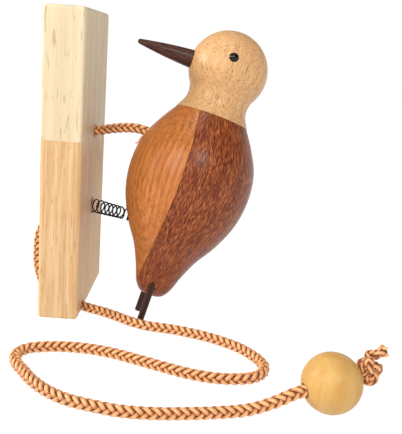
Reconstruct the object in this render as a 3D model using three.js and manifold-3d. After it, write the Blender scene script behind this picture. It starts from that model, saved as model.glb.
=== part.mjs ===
// A wooden woodpecker door knocker. A bird stands off an upright board on a coil spring, and a braided
// cord runs from its chest through the board. A pull on the cord's bead makes the bird peck the board.
// Millimetres. In the knocker's own frame the board's front face is X = 0, the bird is on +X, the board's
// middle is Y = 0, and the floor that the board stands on is Z = 0.
import * as THREE from 'three';
import { mergeVertices } from 'three/addons/utils/BufferGeometryUtils.js';
import Module from 'manifold-3d';

const wasm = await Module();
wasm.setup();

// ---- driving dimensions
const BOARD = { thick: 21, wide: 76, high: 160, round: 2, corner: 3.5 };
const JOINT = { z: 94.8, teeth: 7, depth: 8, tip: 1.2, gap: 0.3 };
const CORD = { r: 2.5, sides: 10, holeZ: 96.4, clear: 3.05 };
const GROOVE = { deep: 7, halfWide: 3.1 };
const SPRING = { footZ: 54.3, boardR: 3.9, birdR: 2.7, wire: 0.42, turns: 11, in: 5.6 };
const BIRD = { x: 70.5, y: 2.5, z: 133.4, yaw: 11, roll: 9.5, lean: 17.3 };
const HEAD = { r: 21.4, seamZ: -27, seamR: 20.4 };
const SLAB = { plane: -10, gap: 0.3 };
const DOWEL = { r: 4.85, top: -15.4, low: -41.6 };
const BEAK = { tip: 50.8, base: 4.9, point: 1.3, drop: 2.7, tenon: 3, tenonIn: 12 };
const EYE = { r: 2.6, x: -3.1, z: 3.8, stem: 1, stemIn: 13.5 };
const ROD = { r: 1.75, x: -1.9, y: 8.8, nearLow: -143.2, farLow: -140.2, top: -112, gap: 0.25 };
const CHEST = { z: -45.5, deep: 13 };
const BELLY = { y: 1.5, z: -91, deep: 6 };
const BEAD = { r: 13, hole: 2.9, at: [121, -113.5, 13], turn: 20, rise: 10 };
const PLATE = { z: 136, wide: 46, high: 17, thick: 1.5, screw: 16.5 };

// ---- solids
function solid(geometry) {
  const g = geometry.clone();
  g.deleteAttribute('normal');
  g.deleteAttribute('uv');
  const m = mergeVertices(g, 1e-4);
  const vertProperties = new Float32Array(m.attributes.position.array);
  const triVerts = new Uint32Array(m.index.array);
  return new wasm.Manifold(new wasm.Mesh({ numProp: 3, vertProperties, triVerts }));
}

function geometryOf(manifold) {
  const mesh = manifold.getMesh();
  const g = new THREE.BufferGeometry();
  const xyz = new Float32Array((mesh.vertProperties.length / mesh.numProp) * 3);
  for (let i = 0; i < xyz.length / 3; i += 1) {
    for (let k = 0; k < 3; k += 1) {
      xyz[i * 3 + k] = mesh.vertProperties[i * mesh.numProp + k];
    }
  }
  g.setAttribute('position', new THREE.BufferAttribute(xyz, 3));
  g.setIndex(new THREE.BufferAttribute(new Uint32Array(mesh.triVerts), 1));
  g.computeVertexNormals();
  return g;
}

// A box from its two far corners.
function block(low, high) {
  const g = new THREE.BoxGeometry(high[0] - low[0], high[1] - low[1], high[2] - low[2]);
  g.translate((low[0] + high[0]) / 2, (low[1] + high[1]) / 2, (low[2] + high[2]) / 2);
  return g;
}

// A turned shape about Z from a profile of [radius, z] points that starts and ends on the axis.
function turned(profile, sides) {
  const points = profile.map(([r, z]) => new THREE.Vector2(r, z));
  if (THREE.ShapeUtils.area(points) < 0) {
    points.reverse();
  }
  const g = new THREE.LatheGeometry(points, sides);
  g.rotateX(Math.PI / 2);
  return g;
}

// A round pin about Z between two heights, with a small chamfer at both ends.
function pin(r, low, high, sides, chamfer = 0.25) {
  return turned([
    [0, low],
    [r - chamfer, low],
    [r, low + chamfer],
    [r, high - chamfer],
    [r - chamfer, high],
    [0, high],
  ], sides);
}

// A round bar along +X from x0 to x1.
function barX(r, x0, x1, y, z, sides) {
  const g = new THREE.CylinderGeometry(r, r, x1 - x0, sides);
  g.rotateZ(-Math.PI / 2);
  g.translate((x0 + x1) / 2, y, z);
  return g;
}

// A round tube with capped ends along a curve.
function tube(curve, r, sides, steps) {
  const ring = new THREE.Shape();
  ring.absarc(0, 0, r, 0, 2 * Math.PI);
  const options = { steps, extrudePath: curve, bevelEnabled: false, curveSegments: sides / 2 };
  return new THREE.ExtrudeGeometry(ring, options);
}

function route(points) {
  return new THREE.CatmullRomCurve3(points.map((p) => new THREE.Vector3(...p)), false, 'centripetal');
}

// An outline in the Y-Z plane given thickness along X from x0 to x1.
function slabX(shape, x0, x1, options = {}) {
  const depth = x1 - x0;
  const g = new THREE.ExtrudeGeometry(shape, { depth, bevelEnabled: false, curveSegments: 3, ...options });
  g.rotateX(Math.PI / 2);
  g.rotateZ(Math.PI / 2);
  g.translate(x0, 0, 0);
  return g;
}

function roundedOutline(halfWide, low, high, r) {
  const s = new THREE.Shape();
  s.moveTo(-halfWide + r, low);
  s.lineTo(halfWide - r, low);
  s.absarc(halfWide - r, low + r, r, -Math.PI / 2, 0);
  s.lineTo(halfWide, high - r);
  s.absarc(halfWide - r, high - r, r, 0, Math.PI / 2);
  s.lineTo(-halfWide + r, high);
  s.absarc(-halfWide + r, high - r, r, Math.PI / 2, Math.PI);
  s.lineTo(-halfWide, low + r);
  s.absarc(-halfWide + r, low + r, r, Math.PI, 1.5 * Math.PI);
  return s;
}

const knocker = new THREE.Group();
knocker.name = 'woodpecker_knocker';

function add(parent, name, geometry, color, roughness, metalness = 0) {
  const material = new THREE.MeshStandardMaterial({ color, roughness, metalness });
  const mesh = new THREE.Mesh(geometry, material);
  mesh.name = name;
  parent.add(mesh);
  return mesh;
}

// ---- the bird's own frame: its origin is the middle of the head, +Z runs up its axis, the beak is on -X
const bird = new THREE.Group();
bird.name = 'bird';
bird.position.set(BIRD.x, BIRD.y, BIRD.z);
bird.rotation.set(
  -THREE.MathUtils.degToRad(BIRD.roll),
  THREE.MathUtils.degToRad(BIRD.lean),
  THREE.MathUtils.degToRad(BIRD.yaw),
  'ZXY',
);
bird.updateMatrixWorld(true);

// The turned body's outline below the seam, from hand-chosen stations joined by a smooth curve.
const flank = new THREE.SplineCurve([
  new THREE.Vector2(HEAD.seamR, HEAD.seamZ - 0.3),
  new THREE.Vector2(26, -36),
  new THREE.Vector2(31.7, -48),
  new THREE.Vector2(33.6, -62),
  new THREE.Vector2(31.6, -77),
  new THREE.Vector2(25.3, -92),
  new THREE.Vector2(17.4, -104.5),
  new THREE.Vector2(12.6, -115),
  new THREE.Vector2(9.6, -123),
  new THREE.Vector2(6.2, -127.2),
  new THREE.Vector2(0, -128.6),
]).getPoints(26);

function flankRadius(z) {
  const i = flank.findIndex((p) => p.y < z);
  const t = (z - flank[i - 1].y) / (flank[i].y - flank[i - 1].y);
  return flank[i - 1].x + t * (flank[i].x - flank[i - 1].x);
}

const chestMouth = new THREE.Vector3(-flankRadius(CHEST.z), 0, CHEST.z);
const bellyMouth = new THREE.Vector3(-Math.hypot(flankRadius(BELLY.z), BELLY.y) + 0.1, BELLY.y, BELLY.z);
const inward = new THREE.Vector3(1, 0, 0).transformDirection(bird.matrixWorld);

function inWorld(local, along = 0) {
  return bird.localToWorld(local.clone()).addScaledVector(inward, along);
}

// ---- the cord's real way. Chest end first: through the air, into the hole and down behind the board.
const chestRoute = route([
  inWorld(chestMouth, CHEST.deep - 1).toArray(),
  inWorld(chestMouth, 3).toArray(),
  [24.5, -9.2, 100.4],
  [17.5, -6.4, 100],
  [10, -3.1, 98.6],
  [3.5, -0.7, 97],
  [-0.6, 0, 96.4],
  [-4.7, 0, 96.4],
]);
const backRoute = route([
  [-5, 0, 96.4],
  [-7.5, 0, 96.4],
  [-12.5, 0, 95.1],
  [-16.2, 0, 91.4],
  [-17.5, 0, 86.4],
  [-17.5, 0, 66],
  [-19.6, 0, 55],
  [-25, -0.3, 45],
  [-29, -0.8, 36],
  [-29.9, -1.2, 27],
  [-29.6, -1.8, 18.5],
  [-27.5, -3.2, 10.5],
  [-23.6, -5.6, 5.4],
  [-18.6, -9, 3],
  [-13, -13.1, 2.6],
  [-6.5, -18.2, 2.6],
  [0.4, -23.2, 2.6],
]);
// The free cord lies on the floor from the board's foot to the bead.
const hole = new THREE.Vector3(
  Math.cos(THREE.MathUtils.degToRad(BEAD.turn)) * Math.cos(THREE.MathUtils.degToRad(BEAD.rise)),
  Math.sin(THREE.MathUtils.degToRad(BEAD.turn)) * Math.cos(THREE.MathUtils.degToRad(BEAD.rise)),
  Math.sin(THREE.MathUtils.degToRad(BEAD.rise)),
);
const beadAt = new THREE.Vector3(...BEAD.at);

function onHole(along) {
  return beadAt.clone().addScaledVector(hole, along).toArray();
}

const pullRoute = route([
  [0.9, -23.5, 2.6],
  [4.8, -25.8, 2.6],
  [11, -28.6, 2.6],
  [19, -33.3, 2.6],
  [28.2, -39.7, 2.6],
  [37.2, -43.9, 2.6],
  [45.7, -45.4, 2.6],
  [54, -47, 2.6],
  [62.4, -49.9, 2.6],
  [70.8, -53.4, 2.6],
  [79, -58.3, 2.6],
  [85, -63, 2.6],
  [90.2, -69.3, 2.6],
  [94, -75.6, 2.6],
  [95.8, -82, 2.6],
  [94.8, -88, 2.6],
  [91, -92.8, 2.6],
  [85, -95.3, 2.6],
  [74, -96.4, 2.6],
  [62, -94.2, 2.6],
  [50, -89.5, 2.6],
  [37, -83.8, 2.6],
  [25, -78.9, 2.6],
  [13, -76, 2.6],
  [2, -75.6, 2.6],
  [-8, -77.2, 2.6],
  [-15, -80.4, 2.6],
  [-18, -85.5, 2.6],
  [-18, -91, 2.6],
  [-15.4, -96.8, 2.6],
  [-11.2, -102.5, 2.6],
  [-6, -109.8, 2.6],
  [2, -117.8, 2.6],
  [11, -123.6, 2.6],
  [22, -127.3, 2.6],
  [35, -130.1, 2.6],
  [48, -130.1, 2.6],
  [61, -128.4, 2.6],
  [74, -125.8, 2.6],
  [85, -123.2, 3],
  [92, -121.9, 4.6],
  [98, -120.8, 6.8],
  onHole(-17),
  onHole(-BEAD.r),
  onHole(0),
  onHole(BEAD.r + 0.6),
]);

// ---- the board: one rounded slab, cut for the cord, the spring and the hanger, then parted at the joint
const half = BOARD.wide / 2;
const face = roundedOutline(half - BOARD.round, BOARD.round, BOARD.high - BOARD.round, BOARD.corner - 2);
let board = solid(slabX(face, -BOARD.thick + BOARD.round, -BOARD.round, {
  bevelEnabled: true,
  bevelSize: BOARD.round,
  bevelThickness: BOARD.round,
  bevelSegments: 3,
  curveSegments: 2,
}));

// The cord's hole, its bend, the groove down the back and the notch under the foot.
const channel = new THREE.Shape();
channel.moveTo(-GROOVE.halfWide, -2);
channel.lineTo(GROOVE.halfWide, -2);
channel.lineTo(GROOVE.halfWide, CORD.holeZ);
channel.absarc(0, CORD.holeZ, GROOVE.halfWide, 0, Math.PI);
channel.lineTo(-GROOVE.halfWide, -2);
board = board.subtract(solid(slabX(channel, -BOARD.thick - 1, -BOARD.thick + GROOVE.deep)));
board = board.subtract(solid(barX(CORD.clear, -9, 1, 0, CORD.holeZ, 24)));
board = board.subtract(solid(tube(backRoute, CORD.clear, 16, 60)));
for (const notch of [block([-19, -3.3, -2], [19, 3.3, 2.8]), barX(3.3, -19, 19, 0, 2.6, 20)]) {
  notch.rotateZ(-Math.atan2(5, 6.9));
  notch.translate(-9.5, -15.8, 0);
  board = board.subtract(solid(notch));
}
board = board.subtract(solid(barX(SPRING.boardR + 0.9, -SPRING.in - 0.6, 1, 0, SPRING.footZ, 24)));

// The hanger's recess, the pocket behind its keyhole and the two screw holes.
const recess = roundedOutline(
  PLATE.wide / 2 + 0.3, PLATE.z - PLATE.high / 2 - 0.3, PLATE.z + PLATE.high / 2 + 0.3, 3.3,
);
board = board.subtract(solid(slabX(recess, -BOARD.thick - 1, -BOARD.thick + PLATE.thick + 0.3)));
const pocket = roundedOutline(6, PLATE.z - 7.4, PLATE.z + 7.4, 3);
board = board.subtract(solid(slabX(pocket, -BOARD.thick - 1, -BOARD.thick + 8)));
for (const side of [-1, 1]) {
  const y = side * PLATE.screw;
  board = board.subtract(solid(barX(1.6, -BOARD.thick, -BOARD.thick + 13, y, PLATE.z, 16)));
}

// The finger joint's line across the board, as the upper stave's lower edge or the lower stave's upper.
function staveOutline(offset, farZ) {
  const pitch = BOARD.wide / JOINT.teeth;
  const s = new THREE.Shape();
  s.moveTo(-half - 5, farZ);
  s.lineTo(-half - 5, JOINT.z + offset);
  for (let i = 0; i < JOINT.teeth; i += 1) {
    const y = -half + (i + 0.5) * pitch;
    s.lineTo(y - pitch / 2 + JOINT.tip, JOINT.z + offset);
    s.lineTo(y - JOINT.tip, JOINT.z - JOINT.depth + offset);
    s.lineTo(y + JOINT.tip, JOINT.z - JOINT.depth + offset);
    s.lineTo(y + pitch / 2 - JOINT.tip, JOINT.z + offset);
  }
  s.lineTo(half + 5, JOINT.z + offset);
  s.lineTo(half + 5, farZ);
  return s;
}

const aboveJoint = solid(slabX(staveOutline(JOINT.gap, BOARD.high + 5), -BOARD.thick - 5, 5));
const belowJoint = solid(slabX(staveOutline(-JOINT.gap, -5), -BOARD.thick - 5, 5));
add(knocker, 'board_upper', geometryOf(board.intersect(aboveJoint)), 0xe8cfa0, 0.6);
add(knocker, 'board_lower', geometryOf(board.intersect(belowJoint)), 0xdcb584, 0.6);

// ---- the hanger plate with a keyhole, and its two countersunk screws
const plateFace = roundedOutline(
  PLATE.wide / 2, PLATE.z - PLATE.high / 2, PLATE.z + PLATE.high / 2, 3,
);
let plate = solid(slabX(plateFace, -BOARD.thick + 0.1, -BOARD.thick + PLATE.thick));
const keyhole = new THREE.Shape();
keyhole.absarc(0, PLATE.z - 2.6, 4, 0.75 * Math.PI - 0.36, 2.25 * Math.PI + 0.36);
keyhole.lineTo(2, PLATE.z + 3.4);
keyhole.absarc(0, PLATE.z + 3.4, 2, 0, Math.PI);
plate = plate.subtract(solid(slabX(keyhole, -BOARD.thick - 1, -BOARD.thick + 3)));
for (const side of [-1, 1]) {
  const sink = new THREE.CylinderGeometry(1.9, 3.5, 1.7, 20);
  sink.rotateZ(-Math.PI / 2);
  sink.translate(-BOARD.thick + 0.75, side * PLATE.screw, PLATE.z);
  plate = plate.subtract(solid(sink));
}
add(knocker, 'hanger_plate', geometryOf(plate), 0x9a9ca0, 0.35, 1);
for (const side of [-1, 1]) {
  const screw = turned([
    [0, 0.25],
    [2.7, 0.25],
    [1.45, 1.55],
    [1.3, 2.4],
    [1.3, 10],
    [0, 12],
  ], 16);
  screw.rotateY(Math.PI / 2);
  screw.translate(-BOARD.thick, side * PLATE.screw, PLATE.z);
  const name = side < 0 ? 'plate_screw_near' : 'plate_screw_far';
  add(knocker, name, screw, 0xa8a9ac, 0.3, 1);
}

// ---- head and neck, turned from one piece
const headProfile = [[0, HEAD.r]];
for (let i = 1; i <= 14; i += 1) {
  const a = (i / 14) * THREE.MathUtils.degToRad(124);
  headProfile.push([HEAD.r * Math.sin(a), HEAD.r * Math.cos(a)]);
}
const nape = new THREE.SplineCurve([
  new THREE.Vector2(17.4, -13),
  new THREE.Vector2(16.6, -17),
  new THREE.Vector2(17.3, -21),
  new THREE.Vector2(HEAD.seamR - 0.1, HEAD.seamZ),
]).getPoints(7);
for (const p of nape) {
  headProfile.push([p.x, p.y]);
}
headProfile.push([DOWEL.r + 0.3, HEAD.seamZ]);
headProfile.push([DOWEL.r + 0.3, DOWEL.top + 0.4]);
headProfile.push([0, DOWEL.top + 0.4]);
let head = solid(turned(headProfile, 40));

function tipped(geometry) {
  geometry.rotateY(-THREE.MathUtils.degToRad(90 + BEAK.drop));
  return geometry;
}

head = head.subtract(solid(tipped(pin(BEAK.tenon + 0.3, BEAK.tenonIn - 0.4, 24, 20, 0.1))));
const eyeY = Math.sqrt(HEAD.r ** 2 - EYE.x ** 2 - EYE.z ** 2);
const gaze = [-1, 1].map((side) => new THREE.Vector3(EYE.x, side * eyeY, EYE.z).normalize());

// A shape turned about Z, stood on the head along one eye's direction.
function aimed(geometry, direction) {
  const turn = new THREE.Quaternion().setFromUnitVectors(new THREE.Vector3(0, 0, 1), direction);
  geometry.applyQuaternion(turn);
  return geometry;
}

for (const direction of gaze) {
  const socket = new THREE.SphereGeometry(EYE.r + 0.3, 20, 12);
  socket.translate(0, 0, HEAD.r - 0.9);
  head = head.subtract(solid(aimed(socket, direction)));
  const bore = pin(EYE.stem + 0.25, EYE.stemIn - 0.4, HEAD.r, 12, 0.1);
  head = head.subtract(solid(aimed(bore, direction)));
}
add(bird, 'head', geometryOf(head), 0xd9b285, 0.5);

['eye_near', 'eye_far'].forEach((name, i) => {
  const profile = [[0, EYE.stemIn], [EYE.stem, EYE.stemIn], [EYE.stem, HEAD.r - 3.2]];
  for (let k = 0; k <= 9; k += 1) {
    const a = THREE.MathUtils.degToRad(156 - (156 * k) / 9);
    profile.push([EYE.r * Math.sin(a), HEAD.r - 0.9 + EYE.r * Math.cos(a)]);
  }
  add(bird, name, aimed(turned(profile, 20), gaze[i]), 0x0c0b0b, 0.12);
});

// ---- the beak: a slim round cone with a tenon that is glued into the head
const beakProfile = [[0, 16], [BEAK.base, 16], [BEAK.base, 20.6]];
for (let i = 1; i <= 4; i += 1) {
  const t = i / 4;
  const r = BEAK.base + t * (BEAK.point + 0.1 - BEAK.base) + 0.35 * Math.sin(Math.PI * t);
  beakProfile.push([r, 20.6 + t * (BEAK.tip - 22)]);
}
beakProfile.push([0.8, BEAK.tip - 0.4]);
beakProfile.push([0, BEAK.tip]);
const beak = solid(tipped(turned(beakProfile, 24)))
  .subtract(solid(new THREE.SphereGeometry(HEAD.r + 0.25, 48, 32)))
  .add(solid(tipped(pin(BEAK.tenon, BEAK.tenonIn, 24, 20, 0.3))));
add(bird, 'beak', geometryOf(beak), 0x3d2419, 0.5);

// ---- the body, turned as one and glued from a pale belly slab and a dark back block
const bodyProfile = flank.map((p) => [Math.max(p.x, 0), p.y]);
bodyProfile.unshift(
  [0, DOWEL.low - 0.4],
  [DOWEL.r + 0.3, DOWEL.low - 0.4],
  [DOWEL.r + 0.3, HEAD.seamZ - 0.3],
);
let body = solid(turned(bodyProfile, 44));
for (const side of [-1, 1]) {
  const bore = pin(ROD.r + ROD.gap, -150, ROD.top + 0.4, 16, 0.1);
  bore.translate(ROD.x, side * ROD.y, 0);
  body = body.subtract(solid(bore));
}
const toBird = bird.matrixWorld.clone().invert();
const chestBore = barX(CORD.clear, -6, CHEST.deep, 0, 0, 20);
chestBore.translate(chestMouth.x, chestMouth.y, chestMouth.z);
body = body.subtract(solid(chestBore));
body = body.subtract(solid(tube(chestRoute, CORD.clear, 16, 24).applyMatrix4(toBird)));
const bellyBore = barX(SPRING.birdR + 1, -5, BELLY.deep + 0.6, 0, 0, 20);
bellyBore.translate(bellyMouth.x, bellyMouth.y, bellyMouth.z);
body = body.subtract(solid(bellyBore));
const front = solid(block([-60, -60, -150], [SLAB.plane - SLAB.gap / 2, 60, 0]));
const rear = solid(block([SLAB.plane + SLAB.gap / 2, -60, -150], [60, 60, 0]));
add(bird, 'belly_half', geometryOf(body.intersect(front)), 0xb87443, 0.5);
add(bird, 'back_half', geometryOf(body.intersect(rear)), 0x8a4a30, 0.5);
add(bird, 'neck_dowel', pin(DOWEL.r, DOWEL.low, DOWEL.top, 24), 0xcfa878, 0.6);

// ---- two hardwood rods let into the tail
for (const side of [-1, 1]) {
  const rod = pin(ROD.r, side < 0 ? ROD.nearLow : ROD.farLow, ROD.top, 16, 0.4);
  rod.translate(ROD.x, side * ROD.y, 0);
  add(bird, side < 0 ? 'tail_rod_near' : 'tail_rod_far', rod, 0x2b1a15, 0.5);
}
knocker.add(bird);

// ---- the coil spring: it narrows from the board to the belly, and its end turns sit in blind holes
const springAxis = route([
  [-SPRING.in, 0, SPRING.footZ],
  [-1.5, 0, SPRING.footZ],
  [3.5, -2.4, SPRING.footZ + 0.1],
  [9.5, -8, SPRING.footZ + 0.4],
  [15.2, -14.1, SPRING.footZ + 1],
  inWorld(bellyMouth, -2.6).toArray(),
  inWorld(bellyMouth, 0.6).toArray(),
  inWorld(bellyMouth, BELLY.deep - 0.3).toArray(),
]);
class Coil extends THREE.Curve {
  getPoint(t) {
    const at = springAxis.getPointAt(t);
    const along = springAxis.getTangentAt(t);
    const across = new THREE.Vector3(0, 0, 1).cross(along).normalize();
    const up = along.clone().cross(across);
    const angle = 2 * Math.PI * SPRING.turns * t;
    const r = SPRING.boardR + (SPRING.birdR - SPRING.boardR) * t;
    return at.addScaledVector(across, r * Math.cos(angle)).addScaledVector(up, r * Math.sin(angle));
  }
}
add(knocker, 'peck_spring', tube(new Coil(), SPRING.wire, 6, SPRING.turns * 11), 0x4a4a4e, 0.35, 1);

// ---- the cord in its three stretches, the bead and the end knot
add(knocker, 'cord_chest', tube(chestRoute, CORD.r, CORD.sides, 12), 0xd08b4f, 0.85);
add(knocker, 'cord_back', tube(backRoute, CORD.r, CORD.sides, 30), 0xd08b4f, 0.85);
add(knocker, 'pull_cord', tube(pullRoute, CORD.r, CORD.sides, 78), 0xd08b4f, 0.85);

const bead = solid(new THREE.SphereGeometry(BEAD.r, 28, 18))
  .subtract(solid(barX(BEAD.hole, -BEAD.r - 2, BEAD.r + 2, 0, 0, 24)));
const beadMesh = add(knocker, 'pull_bead', geometryOf(bead), 0xe2b262, 0.4);
beadMesh.position.copy(beadAt);
beadMesh.quaternion.setFromUnitVectors(new THREE.Vector3(1, 0, 0), hole);

// The end knot, pulled up hard against the bead: one turn round the cord, and a short tail.
const knotCross = route([
  [0, 0, 0],
  [3, 0, 0.3],
  [7, 0, 1.6],
  [10.5, 0.2, 4.2],
  [13.6, 0, 8],
]);
const turnRound = new THREE.TorusGeometry(3.9, 2.2, 10, 20);
turnRound.rotateY(Math.PI / 2 + 0.35);
turnRound.rotateX(0.3);
turnRound.translate(4.2, 0, -0.6);
const overlay = new THREE.TorusGeometry(3.3, 2, 10, 20);
overlay.rotateY(Math.PI / 2 - 0.6);
overlay.translate(6.6, 0.2, 1.8);
const knot = solid(tube(knotCross, 2.3, CORD.sides, 8))
  .add(solid(turnRound))
  .add(solid(overlay));
const knotMesh = add(knocker, 'end_knot', geometryOf(knot), 0xcf8a50, 0.85);
knotMesh.position.set(...onHole(BEAD.r + 1));
knotMesh.quaternion.copy(beadMesh.quaternion);

// ---- the origin: under the middle of everything but the free cord, its bead and its knot
const free = ['pull_cord', 'pull_bead', 'end_knot'];
const extent = new THREE.Box3();
knocker.updateMatrixWorld(true);
knocker.traverse((piece) => {
  if (piece.isMesh && !free.includes(piece.name)) {
    extent.expandByObject(piece, true);
  }
});
knocker.position.set(
  -(extent.min.x + extent.max.x) / 2,
  -(extent.min.y + extent.max.y) / 2,
  -extent.min.z,
);

const group = new THREE.Group();
group.name = 'object';
group.add(knocker);
group.updateMatrixWorld(true);

export default group;
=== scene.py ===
import math

import bmesh
import bpy
import numpy as np
from mathutils import Matrix, Vector


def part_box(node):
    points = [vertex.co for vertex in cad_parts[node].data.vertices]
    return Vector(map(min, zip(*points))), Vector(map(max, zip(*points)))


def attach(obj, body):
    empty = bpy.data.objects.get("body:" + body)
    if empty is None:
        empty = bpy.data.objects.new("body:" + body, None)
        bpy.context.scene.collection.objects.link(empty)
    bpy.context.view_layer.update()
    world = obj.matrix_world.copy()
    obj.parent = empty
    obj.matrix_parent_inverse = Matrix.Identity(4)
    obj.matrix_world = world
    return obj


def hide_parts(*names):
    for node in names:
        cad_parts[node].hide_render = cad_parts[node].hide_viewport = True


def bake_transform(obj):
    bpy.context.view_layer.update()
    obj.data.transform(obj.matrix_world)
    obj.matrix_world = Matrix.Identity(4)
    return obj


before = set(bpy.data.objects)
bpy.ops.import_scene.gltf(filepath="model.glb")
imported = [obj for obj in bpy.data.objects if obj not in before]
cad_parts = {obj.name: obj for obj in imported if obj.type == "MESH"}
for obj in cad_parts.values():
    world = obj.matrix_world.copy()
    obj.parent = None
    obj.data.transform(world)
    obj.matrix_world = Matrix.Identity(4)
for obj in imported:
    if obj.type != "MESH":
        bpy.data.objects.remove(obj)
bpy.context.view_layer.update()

# ---- The table, the light and the camera
# The knocker stands on a plain white table under soft lamps. The big lamp is high on the left in front,
# so the board's face, which is turned to the right, is in half shade.
board_low, board_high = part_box("board_upper")
FOOT = Vector((board_high[0], (board_low[1] + board_high[1]) / 2, 0))
BOARD_PLACE = Matrix.Translation(FOOT) @ Matrix.Scale(0.001, 4)


def on_board(x, y, z):
    """A place given in millimetres from the middle of the foot of the board's face."""
    return BOARD_PLACE @ Vector((x, y, z))


def node(tree, kind, feeds=(), **settings):
    """A shader node with its settings, whose inputs are fed by a value or by another node's output."""
    made = tree.nodes.new("ShaderNode" + kind)
    for key, value in settings.items():
        setattr(made, key, value)
    for socket, value in feeds:
        if isinstance(value, bpy.types.NodeSocket):
            tree.links.new(value, made.inputs[socket])
        else:
            made.inputs[socket].default_value = value
    return made


def tint(red, green, blue):
    """A paint chip's 0 to 255 values as a shader colour."""
    return [((c / 255 + 0.055) / 1.055) ** 2.4 if c > 10 else c / 3295 for c in (red, green, blue)] + [1]


def new_finish(name):
    """An empty finish: the material, its tree and its shader."""
    material = bpy.data.materials.new(name)
    material.use_nodes = True
    return material, material.node_tree, material.node_tree.nodes["Principled BSDF"]


table = bmesh.new()
bmesh.ops.create_grid(table, x_segments=8, y_segments=8, size=3.5)
bmesh.ops.translate(table, vec=(0, 1.5, -0.0002), verts=table.verts)
table_mesh = bpy.data.meshes.new("table")
table.to_mesh(table_mesh)
table.free()
table_top = bpy.data.objects.new("table", table_mesh)
bpy.context.collection.objects.link(table_top)
white, tree, shader = new_finish("table_white")
shader.inputs["Base Color"].default_value = (0.12, 0.12, 0.12, 1)
shader.inputs["Roughness"].default_value = 0.9
shader.inputs["Specular IOR Level"].default_value = 0.1
shader.inputs["Emission Color"].default_value = (1, 1, 1, 1)
shader.inputs["Emission Strength"].default_value = 0.975
table_mesh.materials.append(white)

sky = bpy.data.worlds.new("studio")
sky.use_nodes = True
way = node(sky.node_tree, "TexCoord").outputs["Generated"]
height = node(sky.node_tree, "SeparateXYZ", [("Vector", way)]).outputs["Z"]
walls = node(sky.node_tree, "ValToRGB", [("Fac", height)])
walls.color_ramp.elements[0].position = 0.12
walls.color_ramp.elements[0].color = (1, 1, 1, 1)
walls.color_ramp.elements[1].position = 0.3
walls.color_ramp.elements[1].color = (0.16, 0.17, 0.19, 1)
sky.node_tree.links.new(walls.outputs[0], sky.node_tree.nodes["Background"].inputs["Color"])
bpy.context.scene.world = sky
bpy.context.scene.view_settings.view_transform = "Standard"


def lamp(name, place, aim, size, power, colour=(1, 1, 1)):
    light = bpy.data.lights.new(name, "AREA")
    light.shape = "DISK"
    light.size = size
    light.energy = power
    light.color = colour
    stand = bpy.data.objects.new(name, light)
    bpy.context.collection.objects.link(stand)
    stand.location = place
    stand.rotation_euler = (Vector(aim) - Vector(place)).to_track_quat("-Z", "Y").to_euler()


lamp("big_lamp", (-0.55, -0.9, 0.75), (0.02, 0, 0.08), 0.6, 7.5, (1, 0.96, 0.91))
lamp("left_lamp", (-0.96, -0.02, 0.54), (0.02, 0, 0.13), 0.26, 8, (1, 0.98, 0.95))
lamp("front_lamp", (0.38, -1.02, 0.92), (0.02, 0, 0.1), 0.2, 7.2, (1, 0.98, 0.95))
lamp("top_lamp", (-0.05, 0, 1.25), (0.02, 0, 0.05), 0.5, 2.6, (1, 0.98, 0.96))

yaw, pitch, roll = 0.00468, -0.244345, 0.0745152
ahead = Vector((math.sin(yaw) * math.cos(pitch), math.cos(yaw) * math.cos(pitch), math.sin(pitch)))
level = Vector((math.cos(yaw), -math.sin(yaw), 0))
upright = level.cross(ahead)
across = level * math.cos(roll) + upright * math.sin(roll)
upward = upright * math.cos(roll) - level * math.sin(roll)
lens = bpy.data.cameras.new("camera")
lens.sensor_fit = "HORIZONTAL"
lens.sensor_width = 36
lens.lens = 60.918
lens.clip_start = 0.01
camera = bpy.data.objects.new("camera", lens)
bpy.context.collection.objects.link(camera)
stance = Matrix((across, upward, -ahead)).transposed().to_4x4()
camera.matrix_world = Matrix.Translation(on_board(60.035, -373.66, 145.146)) @ stance
bpy.context.scene.camera = camera

# ---- The board
# Two staves of rubberwood, glued end to end in a finger joint and planed to one rounded slab. It is
# bored for the cord and the spring, and its back has a groove for the cord and a recess for the hanger.
THICK, WIDE, HIGH, ROUND = 21, 76, 160, 2
JOINT_Z, FINGERS, FINGER_DEEP, FINGER_TIP = 94.8, 7, 8, 1.2
CORD_HOLE_Z, CORD_HOLE_R, GROOVE_DEEP = 96.4, 3.05, 7
SPRING_HOLE_Z, SPRING_HOLE_R = 54.3, 4.8
HANGER_Z, HANGER_WIDE, HANGER_HIGH, SCREW_APART = 136, 46, 17, 16.5
BACK_WAY = [
    (-5, 0, 96.4),
    (-7.5, 0, 96.4),
    (-12.5, 0, 95.1),
    (-16.2, 0, 91.4),
    (-17.5, 0, 86.4),
    (-17.5, 0, 66),
    (-19.6, 0, 55),
    (-25, -0.3, 45),
    (-29, -0.8, 36),
    (-29.9, -1.2, 27),
    (-29.6, -1.8, 18.5),
    (-27.5, -3.2, 10.5),
    (-23.6, -5.6, 5.4),
    (-18.6, -9, 3),
    (-13, -13.1, 2.6),
    (-6.5, -18.2, 2.6),
]


def slab(low, high, rounding=0, segments=6, only=None):
    """A block between two corners, with its edges rounded: all of them, or those along one axis."""
    bm = bmesh.new()
    bmesh.ops.create_cube(bm, size=1)
    size = Vector(high) - Vector(low)
    bmesh.ops.scale(bm, vec=size, verts=bm.verts)
    bmesh.ops.translate(bm, vec=(Vector(low) + Vector(high)) / 2, verts=bm.verts)
    if rounding:
        edges = bm.edges[:]
        if only is not None:
            edges = [e for e in edges if abs((e.verts[0].co - e.verts[1].co)[only]) > 0.5 * size[only]]
        bmesh.ops.bevel(
            bm, geom=edges, offset=rounding, segments=segments, profile=0.5, affect="EDGES", material=-1
        )
    return bm


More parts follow.
